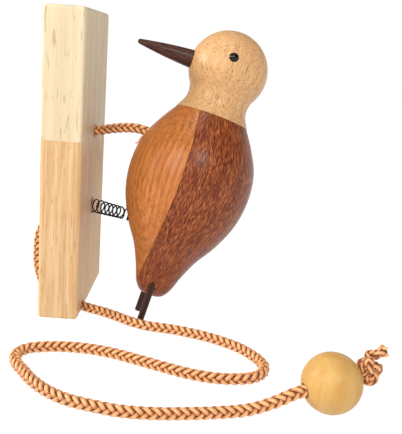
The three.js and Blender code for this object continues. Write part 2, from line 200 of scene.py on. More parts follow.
def turned(profile, steps=96, closed=False):
    """A shape turned on the lathe, about Z, from its (radius, height) outline."""
    bm = bmesh.new()
    outline = [bm.verts.new((r, 0, z)) for r, z in profile]
    for a, b in zip(outline, outline[1:] + outline[:1] if closed else outline[1:]):
        bm.edges.new((a, b))
    bmesh.ops.spin(
        bm,
        geom=bm.verts[:] + bm.edges[:],
        cent=(0, 0, 0),
        axis=(0, 0, 1),
        angle=2 * math.pi,
        steps=steps,
        use_merge=True,
    )
    bmesh.ops.remove_doubles(bm, verts=bm.verts, dist=1e-5)
    bmesh.ops.recalc_face_normals(bm, faces=bm.faces)
    return bm


def bar(radius, x0, x1, y, z, steps=48):
    """A round bar along X."""
    bm = turned([(0, x0), (radius, x0), (radius, x1), (0, x1)], steps)
    bmesh.ops.rotate(bm, cent=(0, 0, 0), matrix=Matrix.Rotation(math.pi / 2, 3, "Y"), verts=bm.verts)
    bmesh.ops.translate(bm, vec=(0, y, z), verts=bm.verts)
    return bm


def piece(name, bm, place, finish=None, crisp=40):
    """The mesh in its place in the model, as an object that sits at the origin."""
    bm.transform(place)
    mesh = bpy.data.meshes.new(name)
    bm.to_mesh(mesh)
    bm.free()
    mesh.polygons.foreach_set("use_smooth", [True] * len(mesh.polygons))
    mesh.set_sharp_from_angle(angle=math.radians(crisp))
    made = bpy.data.objects.new(name, mesh)
    bpy.context.collection.objects.link(made)
    if finish:
        mesh.materials.append(finish)
    return made


def settle(obj):
    """Turns what the piece's modifiers make into its own mesh."""
    mesh = bpy.data.meshes.new_from_object(obj.evaluated_get(bpy.context.evaluated_depsgraph_get()))
    obj.modifiers.clear()
    obj.data = mesh


def cut(obj, tools, operation="DIFFERENCE", crisp=30):
    """Cuts the piece with each tool in turn, and evens the shading of the flats that are left."""
    for tool in tools:
        bite = obj.modifiers.new("cut", "BOOLEAN")
        bite.operation = operation
        bite.solver = "EXACT"
        bite.object = tool
        settle(obj)
        bpy.data.objects.remove(tool)
    obj.data.polygons.foreach_set("use_smooth", [True] * len(obj.data.polygons))
    obj.data.set_sharp_from_angle(angle=math.radians(crisp))
    obj.modifiers.new("even", "WEIGHTED_NORMAL").keep_sharp = True
    settle(obj)
    return obj


def flowing(points, each):
    """A smooth line through the points, with a spot at every step of that length."""
    ends = [Vector(p) for p in points]
    ends = [2 * ends[0] - ends[1], *ends, 2 * ends[-1] - ends[-2]]
    line = []
    for a, b, c, d in zip(ends, ends[1:], ends[2:], ends[3:]):
        ab, bc, cd = (math.sqrt((q - p).length) for p, q in ((a, b), (b, c), (c, d)))
        leave = bc * ((b - a) / ab - (c - a) / (ab + bc) + (c - b) / bc)
        arrive = bc * ((c - b) / bc - (d - b) / (bc + cd) + (d - c) / cd)
        for k in range(16):
            t = k / 16
            bend = 3 * (c - b) - 2 * leave - arrive
            line.append(b + t * leave + t * t * bend + t**3 * (2 * (b - c) + leave + arrive))
    line = np.array([*line, ends[-2]])
    run = np.concatenate([[0], np.cumsum(np.linalg.norm(np.diff(line, axis=0), axis=1))])
    at = np.linspace(0, run[-1], max(2, round(run[-1] / each)) + 1)
    return np.stack([np.interp(at, run, line[:, k]) for k in range(3)], axis=1)


def wire(name, line, radius, place, finish=None, sides=3):
    """A round wire along a line, closed at both ends."""
    curve = bpy.data.curves.new(name, "CURVE")
    curve.dimensions = "3D"
    curve.bevel_depth = radius
    curve.bevel_resolution = sides
    curve.use_fill_caps = True
    way = curve.splines.new("POLY")
    way.points.add(len(line) - 1)
    for point, spot in zip(way.points, line):
        point.co = (*spot, 1)
    draft = bpy.data.objects.new(name, curve)
    bpy.context.collection.objects.link(draft)
    mesh = bpy.data.meshes.new_from_object(draft.evaluated_get(bpy.context.evaluated_depsgraph_get()))
    bpy.data.objects.remove(draft)
    bm = bmesh.new()
    bm.from_mesh(mesh)
    bmesh.ops.remove_doubles(bm, verts=bm.verts, dist=1e-5)
    bmesh.ops.recalc_face_normals(bm, faces=bm.faces)
    return piece(name, bm, place, finish)


def timber(name, place, light, dark, pore, rings, streak, pores, glint=None, gloss=0.42, wrap=0):
    """Wood whose grain runs along the Z of its place. rings are their spacing in millimetres and how much
    they show, streak is how fine the fibres are and how much they show, and pores are their fineness,
    rarity, depth of tone and narrowness. glint is the tone of the short bright fibres between them. wrap
    is the radius at which fibres and pores keep their size where they follow a turned surface."""
    material, tree, shader = new_finish(name)
    here = node(tree, "TexCoord").outputs["Object"]
    turned_by = [("Vector", here), ("Location", place.translation), ("Rotation", place.to_euler())]
    grain = node(tree, "Mapping", [*turned_by, ("Scale", [0.001] * 3)], vector_type="TEXTURE").outputs[0]
    drawn_out = [("Location", (31, 17, 0)), ("Scale", (1, 1, 0.035))]
    trunk = node(tree, "Mapping", [("Vector", grain), *drawn_out]).outputs[0]
    lie = grain
    if wrap:
        spot = node(tree, "SeparateXYZ", [("Vector", grain)]).outputs
        bearing = node(tree, "Math", [(0, spot["Y"]), (1, spot["X"])], operation="ARCTAN2").outputs[0]
        girth = node(tree, "Math", [(0, bearing), (1, wrap)], operation="MULTIPLY").outputs[0]
        lie = node(tree, "CombineXYZ", [("X", girth), ("Z", spot["Z"])]).outputs[0]
    long = node(tree, "Mapping", [("Vector", lie), *drawn_out]).outputs[0]
    short = node(tree, "Mapping", [("Vector", lie), ("Scale", (1, 1, pores[3]))]).outputs[0]
    growth = node(
        tree,
        "TexWave",
        [
            ("Vector", trunk),
            ("Scale", 0.314 / rings[0]),
            ("Distortion", 4),
            ("Detail", 2),
            ("Detail Scale", 0.3),
        ],
        wave_type="RINGS",
        rings_direction="Z",
    ).outputs["Fac"]
    fibre = node(
        tree, "TexNoise", [("Vector", long), ("Scale", streak[0]), ("Detail", 5), ("Roughness", 0.7)]
    ).outputs["Fac"]
    speck = node(
        tree, "TexNoise", [("Vector", short), ("Scale", pores[0]), ("Detail", 2), ("Roughness", 0.6)]
    )
    open_pore = node(
        tree,
        "MapRange",
        [
            ("Value", speck.outputs["Fac"]),
            ("From Min", pores[1]),
            ("From Max", pores[1] + 0.09),
            ("To Max", pores[2]),
        ],
    ).outputs[0]
    lines = node(
        tree,
        "MapRange",
        [
            ("Value", fibre),
            ("From Min", 0.3),
            ("From Max", 0.7),
            ("To Min", -streak[1] / 2),
            ("To Max", streak[1] / 2),
        ],
    ).outputs[0]
    years = node(
        tree,
        "MapRange",
        [("Value", growth), ("To Min", 0.5 - rings[1] / 2), ("To Max", 0.5 + rings[1] / 2)],
    ).outputs[0]
    share = node(tree, "Math", [(0, lines), (1, years)], operation="ADD", use_clamp=True).outputs[0]
    tones = node(tree, "Mix", [(0, share), (6, light), (7, dark)], data_type="RGBA").outputs[2]
    if glint:
        other = node(tree, "Mapping", [("Vector", short), ("Location", (40, 9, 3))]).outputs[0]
        fleck = node(
            tree, "TexNoise", [("Vector", other), ("Scale", pores[0] * 1.1), ("Detail", 2)]
        ).outputs["Fac"]
        bright = node(
            tree, "MapRange", [("Value", fleck), ("From Min", 0.5), ("From Max", 0.66), ("To Max", 0.75)]
        ).outputs[0]
        tones = node(tree, "Mix", [(0, bright), (6, tones), (7, glint)], data_type="RGBA").outputs[2]
    pored = node(tree, "Mix", [(0, open_pore), (6, tones), (7, pore)], data_type="RGBA").outputs[2]
    tree.links.new(pored, shader.inputs["Base Color"])
    shader.inputs["Specular IOR Level"].default_value = 0.24
    dull = node(
        tree, "MapRange", [("Value", fibre), ("To Min", gloss - 0.08), ("To Max", gloss + 0.1)]
    ).outputs[0]
    tree.links.new(dull, shader.inputs["Roughness"])
    sunk = node(tree, "Math", [(0, fibre), (1, open_pore)], operation="SUBTRACT").outputs[0]
    relief = node(tree, "Bump", [("Strength", 0.3), ("Distance", 0.0001), ("Height", sunk)]).outputs[0]
    tree.links.new(relief, shader.inputs["Normal"])
    return material


def comb(offset, far_z):
    """The stock above or below the finger joint, as a cutting tool."""
    half, pitch = WIDE / 2, WIDE / FINGERS
    line = [(-half - 5, far_z), (-half - 5, JOINT_Z + offset)]
    for i in range(FINGERS):
        y = -half + (i + 0.5) * pitch
        line += [
            (y - pitch / 2 + FINGER_TIP, JOINT_Z + offset),
            (y - FINGER_TIP, JOINT_Z - FINGER_DEEP + offset),
            (y + FINGER_TIP, JOINT_Z - FINGER_DEEP + offset),
            (y + pitch / 2 - FINGER_TIP, JOINT_Z + offset),
        ]
    line += [(half + 5, JOINT_Z + offset), (half + 5, far_z)]
    bm = bmesh.new()
    side = bm.faces.new([bm.verts.new((-THICK - 5, y, z)) for y, z in line])
    grown = bmesh.ops.extrude_face_region(bm, geom=[side])["geom"]
    moved = [g for g in grown if isinstance(g, bmesh.types.BMVert)]
    bmesh.ops.translate(bm, vec=(THICK + 10, 0, 0), verts=moved)
    bmesh.ops.recalc_face_normals(bm, faces=bm.faces)
    return piece("comb", bm, BOARD_PLACE)


def board_tools():
    """The cutters for the board's holes, groove, notch and recesses."""
    made = [
        slab((-THICK - 1, -3.1, -2), (-THICK + GROOVE_DEEP, 3.1, CORD_HOLE_Z)),
        bar(3.1, -THICK - 1, -THICK + GROOVE_DEEP, 0, CORD_HOLE_Z),
        bar(CORD_HOLE_R, -9, 1, 0, CORD_HOLE_Z),
        bar(SPRING_HOLE_R, -6.2, 1, 0, SPRING_HOLE_Z),
        slab(
            (-THICK - 1, -HANGER_WIDE / 2 - 0.1, HANGER_Z - HANGER_HIGH / 2 - 0.1),
            (-THICK + 1.8, HANGER_WIDE / 2 + 0.1, HANGER_Z + HANGER_HIGH / 2 + 0.1),
            3.1,
            only=0,
        ),
        slab((-THICK - 1, -6, HANGER_Z - 7.4), (-THICK + 8, 6, HANGER_Z + 7.4), 3, only=0),
        bar(1.4, -THICK, -THICK + 13, -SCREW_APART, HANGER_Z, 24),
        bar(1.4, -THICK, -THICK + 13, SCREW_APART, HANGER_Z, 24),
    ]
    slant = Matrix.Translation((-9.5, -15.8, 0)) @ Matrix.Rotation(-math.atan2(5, 6.9), 4, "Z")
    for notch in (slab((-19, -3.3, -2), (19, 3.3, 2.8)), bar(3.3, -19, 19, 0, 2.6)):
        notch.transform(slant)
        made.append(notch)
    # The mouth of the cord's hole is eased with a countersink.
    mouth = turned([(0, -4), (CORD_HOLE_R + 0.4, -4), (CORD_HOLE_R + 0.6, 0.2), (0, 0.2)], 48)
    mouth.transform(Matrix.Translation((0, 0, CORD_HOLE_Z)) @ Matrix.Rotation(math.pi / 2, 4, "Y"))
    made.append(mouth)
    tools = [piece("tool", bm, BOARD_PLACE) for bm in made]
    tools.append(wire("tool", flowing(BACK_WAY[:9], 1), CORD_HOLE_R, BOARD_PLACE, sides=6))
    return tools


board_low_corner, board_high_corner = (-THICK, -WIDE / 2, 0), (0, WIDE / 2, HIGH)
pale_stave = timber(
    "pale_stave",
    BOARD_PLACE,
    tint(224, 206, 174),
    tint(206, 184, 146),
    tint(140, 114, 80),
    rings=(9, 0.3),
    streak=(0.3, 0.9),
    pores=(0.6, 0.6, 0.5, 0.12),
    gloss=0.5,
)
warm_stave = timber(
    "warm_stave",
    BOARD_PLACE @ Matrix.Translation((9, 4, 0)),
    tint(222, 190, 146),
    tint(196, 150, 100),
    tint(158, 100, 54),
    rings=(3, 0.35),
    streak=(0.95, 1.2),
    pores=(1.1, 0.62, 0.5, 0.12),
    gloss=0.5,
)
board = piece("board_stock", slab(board_low_corner, board_high_corner, ROUND), BOARD_PLACE)
cut(board, board_tools())
for name, finish, tool in (
    ("board_upper", pale_stave, comb(-0.02, -20)),
    ("board_lower", warm_stave, comb(0.02, HIGH + 20)),
):
    stave = bpy.data.objects.new(name + "_stave", board.data.copy())
    bpy.context.collection.objects.link(stave)
    cut(stave, [tool])
    stave.data.materials.clear()
    stave.data.materials.append(finish)
    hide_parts(name)
    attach(stave, "board")
bpy.data.objects.remove(board)

# ---- The hanger
# A pressed steel plate with a keyhole is let into the back of the upper stave, and two countersunk
# screws hold it. The board hangs on a nail or a screw in the door.
PLATE_THICK, NAIL_R, NECK_R = 1.5, 4, 2


def metal(name, colour, rough, scratch):
    """Plain metal with fine scratches one way."""
    material, tree, shader = new_finish(name)
    shader.inputs["Metallic"].default_value = 1
    shader.inputs["Base Color"].default_value = colour
    here = node(tree, "TexCoord").outputs["Object"]
    drawn = node(tree, "Mapping", [("Vector", here), ("Scale", scratch)]).outputs[0]
    lines = node(tree, "TexNoise", [("Vector", drawn), ("Scale", 1), ("Detail", 5)]).outputs["Fac"]
    worn = node(
        tree, "MapRange", [("Value", lines), ("To Min", rough - 0.1), ("To Max", rough + 0.15)]
    ).outputs[0]
    tree.links.new(worn, shader.inputs["Roughness"])
    relief = node(tree, "Bump", [("Strength", 0.2), ("Distance", 0.00002), ("Height", lines)])
    tree.links.new(relief.outputs[0], shader.inputs["Normal"])
    return material


plate_steel = metal("plate_steel", tint(176, 178, 182), 0.36, (900, 160, 4000))
plate = slab(
    (-THICK + 0.1, -HANGER_WIDE / 2, HANGER_Z - HANGER_HIGH / 2),
    (-THICK + PLATE_THICK, HANGER_WIDE / 2, HANGER_Z + HANGER_HIGH / 2),
    3,
    only=0,
)
hanger = piece("hanger_keyhole_plate", plate, BOARD_PLACE, plate_steel)
keyhole = [
    bar(NAIL_R, -THICK - 1, -THICK + 3, 0, HANGER_Z - 2.6),
    slab((-THICK - 1, -NECK_R, HANGER_Z - 3), (-THICK + 3, NECK_R, HANGER_Z + 3.4)),
    bar(NECK_R, -THICK - 1, -THICK + 3, 0, HANGER_Z + 3.4),
]
for side in (-1, 1):
    sink = turned([(0, -0.2), (3.4, -0.2), (1.75, 1.7), (0, 1.7)], 40)
    sink.transform(
        Matrix.Translation((-THICK, side * SCREW_APART, HANGER_Z)) @ Matrix.Rotation(math.pi / 2, 4, "Y")
    )
    keyhole.append(sink)
cut(hanger, [piece("tool", bm, BOARD_PLACE) for bm in keyhole])
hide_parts("hanger_plate")
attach(hanger, "board")

screw_steel = metal("screw_steel", tint(190, 191, 194), 0.3, (2500, 2500, 2500))
for side, name in ((-1, "near"), (1, "far")):
    place = (
        BOARD_PLACE
        @ Matrix.Translation((-THICK, side * SCREW_APART, HANGER_Z))
        @ Matrix.Rotation(math.pi / 2, 4, "Y")
    )
    shank = [(0, 0.25), (2.5, 0.25), (2.75, 0.4), (1.5, 1.55), (1.3, 2.2)]
    for ridge in range(7):
        z = 2.9 + ridge * 1.05
        shank += [(0.95, z - 0.3), (1.3, z)]
    shank += [(0.9, 10.4), (0, 11.9)]
    screw = piece("plate_screw_" + name + "_cross", turned(shank, 40), place, screw_steel)
    cross = [slab((-1.7, -0.32, -0.5), (1.7, 0.32, 1)), slab((-0.32, -1.7, -0.5), (0.32, 1.7, 1))]
    for groove in cross:
        groove.transform(Matrix.Rotation(0.5 * side + 0.2, 4, "Z"))
    cut(screw, [piece("tool", bm, place) for bm in cross])
    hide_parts("plate_screw_" + name)
    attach(screw, "board")

# ---- The head
# Head and neck are turned from one piece of light, finely flecked wood, bored below for the neck dowel,
# in front for the beak's tenon, and at both sides for the eyes.
BIRD_AT, BIRD_YAW, BIRD_ROLL, BIRD_LEAN = (70.5, 2.5, 133.4), 11, 9.5, 17.3
HEAD_R, SEAM_Z = 21.4, -27
EYE_X, EYE_Z, EYE_R, EYE_OUT = -3.1, 3.8, 2.6, 20.5
BEAK_DROP, TENON_R, TENON_IN = 2.7, 3, 12
DOWEL_R = 4.85
turn = (
    Matrix.Rotation(math.radians(BIRD_YAW), 4, "Z")
    @ Matrix.Rotation(math.radians(-BIRD_ROLL), 4, "X")
    @ Matrix.Rotation(math.radians(BIRD_LEAN), 4, "Y")
)
# From the bird's own frame, in millimetres from the middle of its head, into the model.
BIRD_PLACE = Matrix.Translation(on_board(*BIRD_AT)) @ turn @ Matrix.Scale(0.001, 4)
BEAK_PLACE = BIRD_PLACE @ Matrix.Rotation(math.radians(-90 - BEAK_DROP), 4, "Y")


def eye_place(side):
    look = Vector((EYE_X, side * math.sqrt(HEAD_R**2 - EYE_X**2 - EYE_Z**2), EYE_Z))
    return BIRD_PLACE @ look.to_track_quat("Z", "Y").to_matrix().to_4x4()


crown = [(HEAD_R * math.sin(a), HEAD_R * math.cos(a)) for a in (math.radians(2.6 * k) for k in range(48))]
nape = flowing([(17.5, 0, -12.4), (16.65, 0, -17), (17.3, 0, -21), (20.2, 0, -26.6)], 0.6)
head_outline = crown + [(r, z) for r, _, z in nape]
head_outline += [(20.28, SEAM_Z + 0.15), (20.1, SEAM_Z)]
head_outline += [(DOWEL_R + 0.1, SEAM_Z), (DOWEL_R + 0.1, -15.1), (0, -15.1)]
flecked = timber(
    "flecked_head_wood",
    BIRD_PLACE,
    tint(218, 174, 124),
    tint(196, 148, 98),
    tint(120, 70, 32),
    rings=(5, 0.2),
    streak=(1, 0.8),
    pores=(2.4, 0.56, 0.8, 0.03),
    gloss=0.34,
)
head = piece("head_turned", turned(head_outline), BIRD_PLACE, flecked)
mortise = turned(
    [(0, TENON_IN - 0.1), (TENON_R + 0.05, TENON_IN - 0.1), (TENON_R + 0.05, 24), (0, 24)], 32
)
sockets = [piece("tool", mortise, BEAK_PLACE)]
for side in (-1, 1):
    bearings = [math.radians(7.5 * k) for k in range(25)]
    ball = [(EYE_R * math.sin(a), EYE_OUT - EYE_R * math.cos(a)) for a in bearings]
    cup = turned([(r * 1.02, EYE_OUT + (z - EYE_OUT) * 1.02) for r, z in ball], 40)
    sockets.append(piece("tool", cup, eye_place(side)))
    stem_bore = turned([(0, 13.4), (1.05, 13.4), (1.05, 20), (0, 20)], 24)
    sockets.append(piece("tool", stem_bore, eye_place(side)))
cut(head, sockets)
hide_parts("head")
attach(head, "bird")

# ---- The eyes
# Two black glass beads on stems, pushed into the head and glued.
glass, tree, shader = new_finish("eye_glass")
shader.inputs["Specular IOR Level"].default_value = 0.35
here = node(tree, "TexCoord").outputs["Object"]
cloud = node(tree, "TexNoise", [("Vector", here), ("Scale", 900), ("Detail", 3)]).outputs["Fac"]
depth = node(tree, "ValToRGB", [("Fac", cloud)])
depth.color_ramp.elements[0].color = tint(4, 4, 4)
depth.color_ramp.elements[1].color = tint(10, 8, 8)
tree.links.new(depth.outputs[0], shader.inputs["Base Color"])
smear = node(tree, "MapRange", [("Value", cloud), ("To Min", 0.05), ("To Max", 0.12)]).outputs[0]
tree.links.new(smear, shader.inputs["Roughness"])
for side, name in ((-1, "near"), (1, "far")):
    outline = [(0, 13.5), (0.9, 13.5), (1, 13.6), (1, EYE_OUT - 2.3)]
    for k in range(23):
        a = math.radians(23 + 157 * k / 22)
        outline.append((EYE_R * math.sin(a), EYE_OUT - EYE_R * math.cos(a)))
    eye = piece("eye_bead_" + name, turned(outline, 48), eye_place(side), glass)
    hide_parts("eye_" + name)
    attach(eye, "bird")

# ---- The beak
# A slim cone of dark walnut with a blunt tip, hollowed at its root to sit on the head, with a tenon that
# is glued into it.
BEAK_ROOT, BEAK_POINT, BEAK_TIP = 4.9, 1.3, 50.8
walnut = timber(
    "beak_walnut",
    BEAK_PLACE,
    tint(92, 54, 40),
    tint(38, 19, 13),
    tint(20, 10, 7),
    rings=(2, 0.2),
    streak=(2.2, 1.5),
    pores=(2, 0.58, 0.6, 0.12),
    gloss=0.36,
)
cone = [(0, 16), (BEAK_ROOT, 16)]
for k in range(15):
    t = k / 14
    r = BEAK_ROOT + t * (BEAK_POINT + 0.1 - BEAK_ROOT) + 0.35 * math.sin(math.pi * t)
    cone.append((r, 20.6 + t * (BEAK_TIP - 22)))
cone += [(1.25, BEAK_TIP - 0.95), (1, BEAK_TIP - 0.45), (0.6, BEAK_TIP - 0.12), (0, BEAK_TIP)]
beak = piece("beak_cone", turned(cone, 64), BEAK_PLACE, walnut)
skull = [(21.43 * math.sin(a), -21.43 * math.cos(a)) for a in (math.pi * k / 72 for k in range(73))]
cut(beak, [piece("tool", turned(skull, 128), BIRD_PLACE)])
tenon = turned(
    [(0, TENON_IN), (TENON_R - 0.3, TENON_IN), (TENON_R, TENON_IN + 0.3), (TENON_R, 24), (0, 24)], 32
)
cut(beak, [piece("tool", tenon, BEAK_PLACE)], "UNION")
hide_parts("beak")
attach(beak, "bird")

# ---- The neck dowel
# A plain beech dowel, glued half into the neck and half into the body. Only its place is fixed by the
# frame, so the frame's own solid stays, in beech.
beech = timber(
    "dowel_beech",
    BIRD_PLACE,
    tint(206, 168, 122),
    tint(186, 144, 98),
    tint(150, 104, 60),
    rings=(4, 0.2),
    streak=(0.9, 0.6),
    pores=(1.3, 0.6, 0.6, 0.17),
)
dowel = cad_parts["neck_dowel"]
dowel.data.materials.clear()
dowel.data.materials.append(beech)

# ---- The body
# Turned as one from a light belly slab glued to a dark back block, both with the grain along the bird.
# The chest is bored for the cord, the belly for the spring, and the tail for its two rods.
SLAB_X = -10
CHEST_Z, CHEST_DEEP = -45.5, 13
BELLY_Y, BELLY_Z, BELLY_DEEP = 1.5, -91, 6
ROD_R, ROD_X, ROD_Y, ROD_TOP = 1.75, -1.9, 8.8, -112
flank = flowing(
    [
        (20.4, 0, -27.3),
        (26, 0, -36),
        (31.7, 0, -48),
        (33.6, 0, -62),
        (31.6, 0, -77),
        (25.3, 0, -92),
        (17.4, 0, -104.5),
        (12.6, 0, -115),
        (9.6, 0, -123),
        (6.2, 0, -127.2),
        (0, 0, -128.6),
    ],
    1.6,
)


def flank_radius(z):
    return float(np.interp(-z, -flank[:, 2], flank[:, 0]))


chest_mouth = Vector((-flank_radius(CHEST_Z), 0, CHEST_Z))
belly_mouth = Vector((-math.hypot(flank_radius(BELLY_Z), BELLY_Y) + 0.1, BELLY_Y, BELLY_Z))
body_outline = [(0, -42), (DOWEL_R + 0.1, -42), (DOWEL_R + 0.1, SEAM_Z - 0.06), (20.15, SEAM_Z - 0.06)]
body_outline += [(max(r, 0), z) for r, _, z in flank]
belly_wood = timber(
    "belly_wood",
    BIRD_PLACE @ Matrix.Translation((6, -4, 0)),
    tint(206, 130, 66),
    tint(136, 70, 28),
    tint(98, 46, 18),
    rings=(3.4, 0.24),
    streak=(1.1, 0.9),
    pores=(0.9, 0.66, 0.5, 0.1),
    gloss=0.33,
)
back_wood = timber(
    "back_wood",
    BIRD_PLACE @ Matrix.Translation((-3, 8, 0)),
    tint(130, 58, 27),
    tint(84, 32, 14),
    tint(42, 15, 7),
    rings=(6, 0.2),
    streak=(0.9, 0.8),
    pores=(3.6, 0.55, 0.8, 0.08),
    glint=tint(206, 124, 68),
    gloss=0.33,
    wrap=32,
)
rod_bores = []
for side in (-1, 1):
    bore = turned(
        [(0, -150), (ROD_R + 0.2, -150), (ROD_R + 0.2, ROD_TOP + 0.1), (0, ROD_TOP + 0.1)], 32
    )
    bmesh.ops.translate(bore, vec=(ROD_X, side * ROD_Y, 0), verts=bore.verts)
    rod_bores.append(bore)
chest_bore = bar(CORD_HOLE_R, -6, CHEST_DEEP, 0, 0)
bmesh.ops.translate(chest_bore, vec=chest_mouth, verts=chest_bore.verts)
belly_bore = bar(3.7, -5, BELLY_DEEP + 0.6, 0, 0)
bmesh.ops.translate(belly_bore, vec=belly_mouth, verts=belly_bore.verts)
for name, finish, keep, bores in (
    ("belly_half", belly_wood, -1, [chest_bore, belly_bore]),
    ("back_half", back_wood, 1, rod_bores),
):
    bm = turned(body_outline, 112)
    plane = (SLAB_X + 0.02 * keep, 0, 0)
    geom = bm.verts[:] + bm.edges[:] + bm.faces[:]
    bmesh.ops.bisect_plane(bm, geom=geom, plane_co=plane, plane_no=(keep, 0, 0), clear_inner=True)
    rim = [e for e in bm.edges if e.is_boundary]
    flat = bmesh.ops.edgeloop_fill(bm, edges=rim)["faces"]
    rim = [e for f in flat for e in f.edges]
    bmesh.ops.bevel(bm, geom=rim, offset=0.09, segments=1, profile=0.5, affect="EDGES", material=-1)
    bmesh.ops.recalc_face_normals(bm, faces=bm.faces)
    half = piece(name + "_turned", bm, BIRD_PLACE, finish)
    cut(half, [piece("tool", b, BIRD_PLACE) for b in bores])
    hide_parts(name)
    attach(half, "bird")

# ---- The tail rods
# Two thin rods of very dark hardwood, glued into the tail. The bird's tail rests on them.
rod_wood = timber(
    "rod_hardwood",
    BIRD_PLACE,
    tint(78, 44, 30),
    tint(34, 20, 16),
    tint(16, 10, 8),
    rings=(1.3, 0.3),
    streak=(1.6, 1.2),
    pores=(2, 0.6, 0.6, 0.17),
    gloss=0.36,
)
for side, name, low in ((-1, "near", -143.2), (1, "far", -140.2)):
    rod = turned(
        [(0, low), (ROD_R - 0.45, low), (ROD_R - 0.13, low + 0.13), (ROD_R, low + 0.45)]
        + [(ROD_R, ROD_TOP - 0.3), (ROD_R - 0.3, ROD_TOP), (0, ROD_TOP)],
        40,
    )
    bmesh.ops.translate(rod, vec=(ROD_X, side * ROD_Y, 0), verts=rod.verts)
    dark_rod = piece("tail_rod_" + name + "_turned", rod, BIRD_PLACE, rod_wood)
    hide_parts("tail_rod_" + name)
    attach(dark_rod, "bird")

# ---- The peck spring
# Spring steel wire wound on a taper. One end is pressed into the board and the other into the belly, and
# the bird rocks as it bends.
WIRE_R, COILS, BOARD_COIL_R, BELLY_COIL_R = 0.42, 11, 3.9, 2.7
inward = (BIRD_PLACE.to_3x3() @ Vector((1, 0, 0))).normalized()


def from_mouth(mouth, along):
    """A place in the bird on a bore's line, in millimetres from the foot of the board's face."""
    return BOARD_PLACE.inverted() @ (BIRD_PLACE @ mouth + inward * along * 0.001)


spring_axis = flowing(
    [
        (-5.6, 0, 54.3),
        (-1.5, 0, 54.3),
        (3.5, -2.4, 54.4),
        (9.5, -8, 54.7),
        (15.2, -14.1, 55.3),
        from_mouth(belly_mouth, -2.6),
        from_mouth(belly_mouth, 0.6),
        from_mouth(belly_mouth, BELLY_DEEP - 0.3),
    ],
    0.1,
)
coil = []
for k in range(COILS * 28 + 1):
    t = k / (COILS * 28)
    spot = t * (len(spring_axis) - 1)
    here = Vector(spring_axis[int(spot)])
    ahead_of = Vector(spring_axis[min(int(spot) + 1, len(spring_axis) - 1)])
    behind = Vector(spring_axis[max(int(spot) - 1, 0)])
    along = (ahead_of - behind).normalized()
    sideways = Vector((0, 0, 1)).cross(along).normalized()
    r = BOARD_COIL_R + (BELLY_COIL_R - BOARD_COIL_R) * t
    a = 2 * math.pi * COILS * t
    here = here.lerp(ahead_of, spot - int(spot))
    coil.append(here + sideways * r * math.cos(a) + along.cross(sideways) * r * math.sin(a))
spring_steel = metal("spring_steel_wire", tint(58, 55, 54), 0.2, (3000, 3000, 3000))
spring = wire("peck_spring_wire", coil, WIRE_R, BOARD_PLACE, spring_steel, sides=3)
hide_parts("peck_spring")
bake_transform(spring)

# ---- The cord
# One plaited cord of eight strands, four each way, under two and over two. It is knotted inside the
# chest, runs through the board, down the groove behind it and out under the foot, and lies on the table.
LEAD = 14.8
STRAND_WIDE, STRAND_THICK, STRAND_MID, STRAND_LIFT = 1.0, 0.82, 1.46, 0.57
BEAD_AT, BEAD_R, BEAD_TURN, BEAD_RISE = (121, -113.5, 13), 13, 20, 10
hole = Vector((1, 0, 0))
hole.rotate(Matrix.Rotation(math.radians(-BEAD_RISE), 3, "Y"))
hole.rotate(Matrix.Rotation(math.radians(BEAD_TURN), 3, "Z"))


def on_hole(along):
    return Vector(BEAD_AT) + hole * along


CHEST_WAY = [
    from_mouth(chest_mouth, CHEST_DEEP - 1),
    from_mouth(chest_mouth, 3),
    (24.5, -9.2, 100.4),
    (17.5, -6.4, 100),
    (10, -3.1, 98.6),
    (3.5, -0.7, 97),
    (-0.6, 0, 96.4),
]
TABLE_WAY = [
    (0.9, -23.5, 2.6),
    (4.8, -25.8, 2.6),
    (11, -28.6, 2.6),
    (19, -33.3, 2.6),
    (28.2, -39.7, 2.6),
    (37.2, -43.9, 2.6),
    (45.7, -45.4, 2.6),
    (54, -47, 2.6),
    (62.4, -49.9, 2.6),
    (70.8, -53.4, 2.6),
    (79, -58.3, 2.6),
    (85, -63, 2.6),
    (90.2, -69.3, 2.6),
    (94, -75.6, 2.6),
    (95.8, -82, 2.6),
    (94.8, -88, 2.6),
    (91, -92.8, 2.6),
    (85, -95.3, 2.6),
    (74, -96.4, 2.6),
    (62, -94.2, 2.6),
    (50, -89.5, 2.6),
    (37, -83.8, 2.6),
    (25, -78.9, 2.6),
    (13, -76, 2.6),
    (2, -75.6, 2.6),
    (-8, -77.2, 2.6),
    (-15, -80.4, 2.6),
    (-18, -85.5, 2.6),
    (-18, -91, 2.6),
    (-15.4, -96.8, 2.6),
    (-11.2, -102.5, 2.6),
    (-6, -109.8, 2.6),
    (2, -117.8, 2.6),
    (11, -123.6, 2.6),
    (22, -127.3, 2.6),
    (35, -130.1, 2.6),
    (48, -130.1, 2.6),
    (61, -128.4, 2.6),
    (74, -125.8, 2.6),
    (85, -123.2, 3),
    (92, -121.9, 4.6),
    (98, -120.8, 6.8),
    on_hole(-17),
    on_hole(-BEAD_R),
    on_hole(0),
    on_hole(BEAD_R + 0.6),
]


def carried(line, start):
    """Directions along a line, and a side direction that is carried along it without twisting."""
    along = np.gradient(line, axis=0)
    along /= np.linalg.norm(along, axis=1)[:, None]
    sides = [np.array(start, float)]
    for step in along:
        side = sides[-1] - step * (sides[-1] @ step)
        sides.append(side / np.linalg.norm(side))
    return along, np.array(sides[1:])


